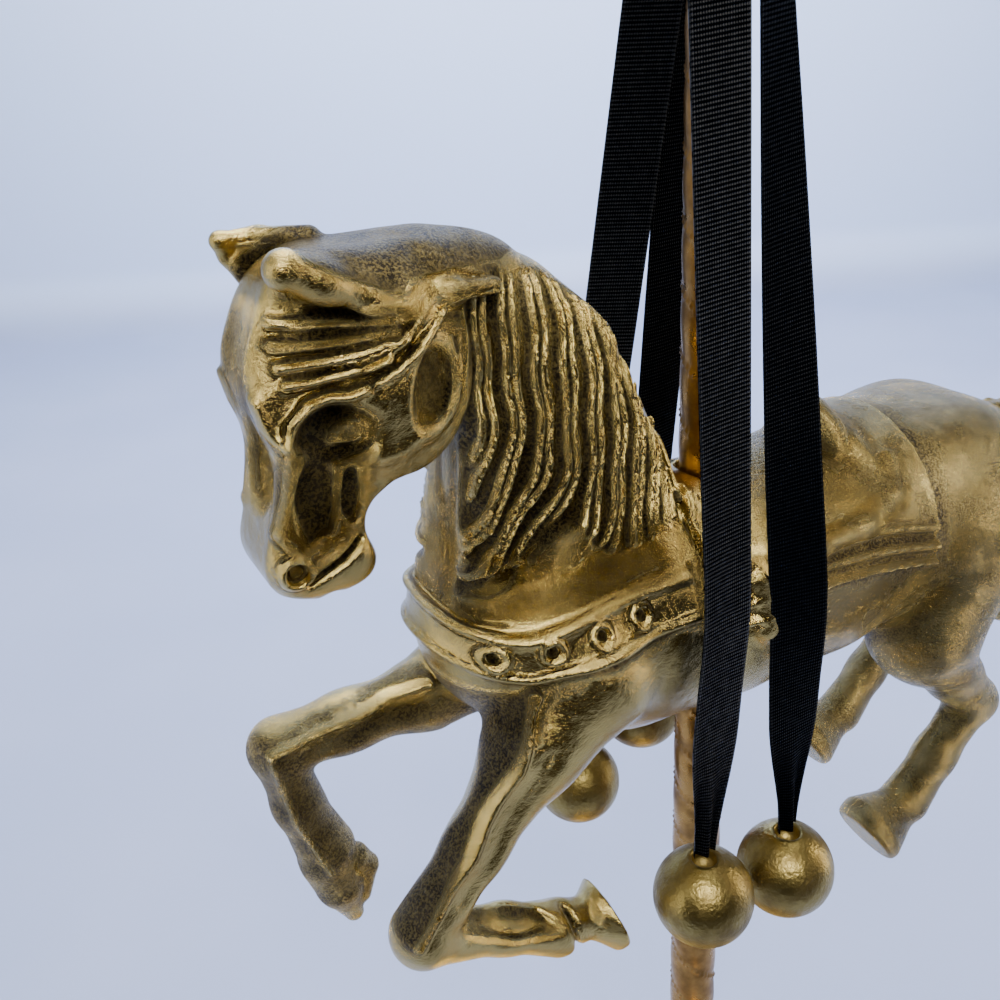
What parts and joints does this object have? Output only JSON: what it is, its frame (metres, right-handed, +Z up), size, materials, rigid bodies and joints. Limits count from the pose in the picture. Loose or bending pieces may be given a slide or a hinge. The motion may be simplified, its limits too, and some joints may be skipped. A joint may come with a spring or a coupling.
{
  "type": "carousel horse ornament on a pole stand",
  "caption": "Cast brass carousel horse on a twisted pole with a round foot, hung with black satin ribbons that end in brass balls.",
  "frame": {"origin": "centre of the foot's underside, on the pole's axis", "axes": "+Z up along the pole, -X the way the horse faces, -Y the horse's left side"},
  "size_m": [0.175, 0.104, 0.37],
  "materials": {
    "cast_brass": "polished on the high places, brown patina in the hollows",
    "pole_bronze": "satin",
    "turned_brass": "satin",
    "ball_brass": "brushed satin",
    "black_satin": "satin weave"
  },
  "bodies": {
    "root": {"foot": "turned_brass", "pole": "pole_bronze", "horse": "cast_brass", "cap": "turned_brass", "ribbon_1": "black_satin", "ball_1": "ball_brass", "ribbon_2": "black_satin", "ball_2": "ball_brass", "ribbon_3": "black_satin", "ball_3": "ball_brass", "ribbon_4": "black_satin", "ball_4": "ball_brass"}
  },
  "joints": []
}
